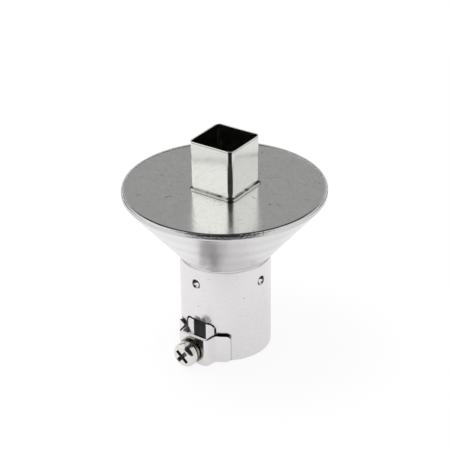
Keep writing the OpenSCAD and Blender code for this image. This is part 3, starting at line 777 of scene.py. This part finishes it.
# The plating is bright on the head, and the recess is painted dark: painted shade down in it
place = add(tree, "ShaderNodeTexCoord").outputs["Object"]
grain = add(tree, "ShaderNodeTexNoise", {"Vector": place, "Scale": across(0.5), "Detail": 3.0})
spot = add(tree, "ShaderNodeSeparateXYZ", {"Vector": place})
rise = add(tree, "ShaderNodeMath", {0: spot.outputs["Z"], 1: SCREW_HEIGHT}, operation="SUBTRACT")
flat = add(tree, "ShaderNodeCombineXYZ", {"X": spot.outputs["X"], "Y": rise})
off_axis = add(tree, "ShaderNodeVectorMath", {0: flat}, operation="LENGTH")
inside = add(tree, "ShaderNodeMath", {0: off_axis, 1: RECESS_REACH}, operation="LESS_THAN")
sunk = add(tree, "ShaderNodeMapRange", {
    "Value": spot.outputs["Y"], "From Min": HEAD_FRONT + 0.5 * RECESS_LIP,
    "From Max": HEAD_FRONT + 2 * RECESS_LIP})
in_head = add(tree, "ShaderNodeMath", {0: spot.outputs["Y"], 1: RECESS_FLOOR}, operation="LESS_THAN")
sunk_in = add(tree, "ShaderNodeMath", {0: sunk, 1: inside}, operation="MULTIPLY")
painted_recess_shade = add(tree, "ShaderNodeMath", {0: sunk_in, 1: in_head}, operation="MULTIPLY")
plating = add(tree, "ShaderNodeMix", {
    "Factor": painted_recess_shade, "A": linear("#E2E1DE"), "B": linear("#85807A")}, data_type="RGBA")
bright = add(tree, "ShaderNodeMapRange", {
    "Value": grain, "From Min": NOISE_LOW, "From Max": NOISE_HIGH, "To Min": 0.14, "To Max": 0.22})
gloss = add(tree, "ShaderNodeMix", {"Factor": painted_recess_shade, "A": bright, "B": 0.4}, data_type="FLOAT")
# A right-hand thread: its crests climb one pitch a turn round the shank
round_axis = add(tree, "ShaderNodeMath", {0: rise, 1: spot.outputs["X"]}, operation="ARCTAN2")
turns = add(tree, "ShaderNodeMath", {0: round_axis, 1: 2 * math.pi}, operation="DIVIDE")
pitches = add(tree, "ShaderNodeMath", {0: spot.outputs["Y"], 1: THREAD_PITCH}, operation="DIVIDE")
phase = add(tree, "ShaderNodeMath", {0: pitches, 1: turns}, operation="ADD")
crest = add(tree, "ShaderNodeMath", {0: phase, 1: 0.5}, operation="PINGPONG")
on_shank = add(tree, "ShaderNodeMath", {0: off_axis, 1: SHANK_REACH}, operation="LESS_THAN")
behind = add(tree, "ShaderNodeMath", {0: spot.outputs["Y"], 1: RECESS_FLOOR}, operation="GREATER_THAN")
shank = add(tree, "ShaderNodeMath", {0: on_shank, 1: behind}, operation="MULTIPLY")
thread = add(tree, "ShaderNodeMath", {0: crest, 1: shank}, operation="MULTIPLY")
threaded = add(tree, "ShaderNodeBump", {"Strength": 1.0, "Distance": THREAD_DEPTH, "Height": thread})
shade = add(tree, "ShaderNodeBsdfPrincipled", {
    "Base Color": plating, "Metallic": 1.0, "Roughness": gloss, "Normal": threaded})
add(tree, "ShaderNodeOutputMaterial", {"Surface": shade})
wear("clamp_screw", bright_plating)
wear("clamp_nut", bright_plating)


# Washers
# A split spring washer coiled from square wire, and a stamped flat washer, both plated and
# loose on the screw's shank.
thin_plating, tree = new_material("thinly_plated_steel")
# The plating is thin and a little brown, so it looks darker than the screw's, with dull patches
place = add(tree, "ShaderNodeTexCoord").outputs["Object"]
grain = add(tree, "ShaderNodeTexNoise", {"Vector": place, "Scale": across(0.5), "Detail": 3.0})
dull = add(tree, "ShaderNodeMapRange", {"Value": grain, "From Min": NOISE_LOW, "From Max": NOISE_HIGH})
plating = add(tree, "ShaderNodeMix", {
    "Factor": dull, "A": linear("#A7A39C"), "B": linear("#8C877F")}, data_type="RGBA")
gloss = add(tree, "ShaderNodeMapRange", {
    "Value": grain, "From Min": NOISE_LOW, "From Max": NOISE_HIGH, "To Min": 0.2, "To Max": 0.3})
shade = add(tree, "ShaderNodeBsdfPrincipled", {
    "Base Color": plating, "Metallic": 1.0, "Roughness": gloss})
add(tree, "ShaderNodeOutputMaterial", {"Surface": shade})
wear("spring_washer", thin_plating)
wear("flat_washer", thin_plating)


# Camera
# It stands to the front right of the clamp and looks down on the plate. Its place and lens
# bring the tube, the rim and the open end to where they lie in the picture.
CAMERA_AZIMUTH = math.radians(36.1)
CAMERA_OUT = 0.31654
CAMERA_UP = 0.20654
CAMERA_TILT = 0.5020
CAMERA_ROLL = -0.0129
LENS_MM = 115.93
SENSOR_MM = 36
NEAREST = 0.01

turned = Matrix.Rotation(CAMERA_AZIMUTH, 3, "Z")
ahead = turned @ Vector((0, math.cos(CAMERA_TILT), -math.sin(CAMERA_TILT)))
level = turned @ Vector((1, 0, 0))
upward = level.cross(ahead)
right = math.cos(CAMERA_ROLL) * level + math.sin(CAMERA_ROLL) * upward
above = math.cos(CAMERA_ROLL) * upward - math.sin(CAMERA_ROLL) * level
camera = bpy.data.objects.new("camera", bpy.data.cameras.new("camera"))
bpy.context.scene.collection.objects.link(camera)
camera.data.lens = LENS_MM
camera.data.sensor_width = SENSOR_MM
camera.data.clip_start = NEAREST
stand = turned @ Vector((0, -CAMERA_OUT, CAMERA_UP))
camera.matrix_world = Matrix.Translation(stand) @ Matrix((right, above, -ahead)).transposed().to_4x4()
bpy.context.scene.camera = camera


# Floor
# A white table that the part stands on. The camera and the metal see it white, with a weak
# shadow under the part.
def flat_piece(name, corners):
    """A stage piece made of one four-sided face."""
    mesh = bpy.data.meshes.new(name)
    mesh.from_pydata(corners, [], [(0, 1, 2, 3)])
    made = bpy.data.objects.new(name, mesh)
    bpy.context.scene.collection.objects.link(made)
    return made


FLOOR_HALF = 3.0
FIRST_BOUNCE = 1.5
TUBE_INNER = 0.0110
WHITE_TO_CAMERA = 0.9
WHITE_TO_METAL = 0.7
WHITE_IN_SHADE = 0.05
SHADE_FULL = -0.006
SHADE_END = -0.001
FAR_START = 0.06
FAR_FULL = 0.09
FAR_DIM = 0.3

floor = flat_piece("floor", [(-FLOOR_HALF, -FLOOR_HALF, 0), (FLOOR_HALF, -FLOOR_HALF, 0),
                             (FLOOR_HALF, FLOOR_HALF, 0), (-FLOOR_HALF, FLOOR_HALF, 0)])
table_white, tree = new_material("white_table")
seen = add(tree, "ShaderNodeLightPath")
to_camera = add(tree, "ShaderNodeMath", {
    0: seen.outputs["Is Camera Ray"], 1: WHITE_TO_CAMERA}, operation="MULTIPLY")
# Metal that shows the table in other metal gets less of it on the clamp's side, where the
# clamp shades the table
place = add(tree, "ShaderNodeTexCoord").outputs["Object"]
sideways = add(tree, "ShaderNodeVectorMath", {0: place, 1: level}, operation="DOT_PRODUCT")
clamp_side = add(tree, "ShaderNodeMapRange", {
    "Value": sideways, "From Min": SHADE_FULL, "From Max": SHADE_END, "To Min": 1.0, "To Max": 0.0})
bounced = add(tree, "ShaderNodeMath", {
    0: seen.outputs["Ray Depth"], 1: FIRST_BOUNCE}, operation="GREATER_THAN")
shaded = add(tree, "ShaderNodeMath", {0: bounced, 1: clamp_side}, operation="MULTIPLY")
metal_share = add(tree, "ShaderNodeMapRange", {
    "Value": shaded, "To Min": WHITE_TO_METAL, "To Max": WHITE_IN_SHADE})
to_metal = add(tree, "ShaderNodeMath", {
    0: seen.outputs["Is Glossy Ray"], 1: metal_share}, operation="MULTIPLY")
shown = add(tree, "ShaderNodeMath", {0: to_camera, 1: to_metal}, operation="MAXIMUM")
# Inside the tube the table is left in the dark
from_axis = add(tree, "ShaderNodeVectorMath", {0: place}, operation="LENGTH")
outside = add(tree, "ShaderNodeMapRange", {
    "Value": from_axis, "From Min": TUBE_INNER, "From Max": TUBE_OUTER})
lift = add(tree, "ShaderNodeMath", {0: shown, 1: outside}, operation="MULTIPLY")
# Away from the part the metal sees the table a little greyer
far = add(tree, "ShaderNodeMapRange", {
    "Value": from_axis, "From Min": FAR_START, "From Max": FAR_FULL, "To Max": FAR_DIM})
dimmed = add(tree, "ShaderNodeMath", {0: far, 1: seen.outputs["Is Glossy Ray"]}, operation="MULTIPLY")
power = add(tree, "ShaderNodeMath", {0: 1.0, 1: dimmed}, operation="SUBTRACT")
lit = add(tree, "ShaderNodeBsdfDiffuse", {"Color": linear("#F2F2F2")})
white = add(tree, "ShaderNodeEmission", {"Color": linear("#FFFFFF"), "Strength": power})
surface = add(tree, "ShaderNodeMixShader", {0: lift, 1: lit, 2: white})
add(tree, "ShaderNodeOutputMaterial", {"Surface": surface})
floor.data.materials.append(table_white)


# Cards
# Black cards round the camera and a grey one behind the part give the metal its dark and
# mid tones. Only the metal sees them.
def card(name, hex_colour, corners):
    """A flat card that shows in the metal and nowhere else. Corners lie right, away and up."""
    made = flat_piece(name, [turned @ Vector(c) for c in corners])
    made.visible_camera = False
    made.visible_diffuse = False
    made.visible_shadow = False
    finish, tree = new_material(name)
    glow = add(tree, "ShaderNodeEmission", {"Color": linear(hex_colour)})
    add(tree, "ShaderNodeOutputMaterial", {"Surface": glow})
    made.data.materials.append(finish)


CARD_BLACK = "#181818"
CARD_HALF = 0.55
CARD_OUT = -0.42
CARD_TOP = 1.2
# The low card lies just over the table and widens towards the camera
LOW_Z = 0.0005
LOW_FRONT = -0.080
LOW_NARROW = 0.057
LOW_WIDE = 0.3
TOP_FRONT = -0.08
GREY_HALF = 0.5
GREY_BACK = 0.40
GREY_FOOT = 0.15
GREY_TOP = 0.45

card("black_card_low", CARD_BLACK, [
    (-LOW_NARROW, LOW_FRONT, LOW_Z), (LOW_NARROW, LOW_FRONT, LOW_Z),
    (LOW_WIDE, CARD_OUT, LOW_Z), (-LOW_WIDE, CARD_OUT, LOW_Z)])
card("black_card_high", CARD_BLACK, [
    (-CARD_HALF, CARD_OUT, 0.0), (CARD_HALF, CARD_OUT, 0.0),
    (CARD_HALF, CARD_OUT, CARD_TOP), (-CARD_HALF, CARD_OUT, CARD_TOP)])
card("black_card_top", CARD_BLACK, [
    (-CARD_HALF, CARD_OUT, CARD_TOP), (CARD_HALF, CARD_OUT, CARD_TOP),
    (CARD_HALF, TOP_FRONT, CARD_TOP), (-CARD_HALF, TOP_FRONT, CARD_TOP)])
card("grey_card", "#989898", [
    (-GREY_HALF, GREY_BACK, GREY_FOOT), (GREY_HALF, GREY_BACK, GREY_FOOT),
    (GREY_HALF, GREY_BACK, GREY_TOP), (-GREY_HALF, GREY_BACK, GREY_TOP)])


# Light
# A white tent lights the part from all round, a little more from the left, with one soft
# box above it.
TENT_RIGHT = 0.78
TENT_LEFT = 1.05
BOX_ACROSS = 0.25
BOX_WATTS = 1.2
BOX_AT = (-0.16, 0.06, 0.55)

world = bpy.data.worlds.new("white_tent")
bpy.context.scene.world = world
world.use_nodes = True
tree = world.node_tree
tree.nodes.clear()
seen = add(tree, "ShaderNodeLightPath")
toward = add(tree, "ShaderNodeTexCoord").outputs["Generated"]
leftward = add(tree, "ShaderNodeVectorMath", {
    0: toward, 1: turned @ Vector((-1, 0, 0))}, operation="DOT_PRODUCT")
side_level = add(tree, "ShaderNodeMapRange", {
    "Value": leftward, "From Min": -1.0, "From Max": 1.0, "To Min": TENT_RIGHT, "To Max": TENT_LEFT})
level_seen = add(tree, "ShaderNodeMix", {
    "Factor": seen.outputs["Is Camera Ray"], "A": side_level, "B": 1.0}, data_type="FLOAT")
tent = add(tree, "ShaderNodeBackground", {"Color": linear("#FFFFFF"), "Strength": level_seen})
add(tree, "ShaderNodeOutputWorld", {"Surface": tent})

soft_box = bpy.data.objects.new("soft_box", bpy.data.lights.new("soft_box", "AREA"))
bpy.context.scene.collection.objects.link(soft_box)
soft_box.data.shape = "DISK"
soft_box.data.size = BOX_ACROSS
soft_box.data.energy = BOX_WATTS
soft_box.location = turned @ Vector(BOX_AT)
soft_box.rotation_mode = "QUATERNION"
soft_box.rotation_quaternion = (-soft_box.location).to_track_quat("-Z", "Y")
soft_box.visible_glossy = False

bpy.context.scene.view_settings.view_transform = "Standard"
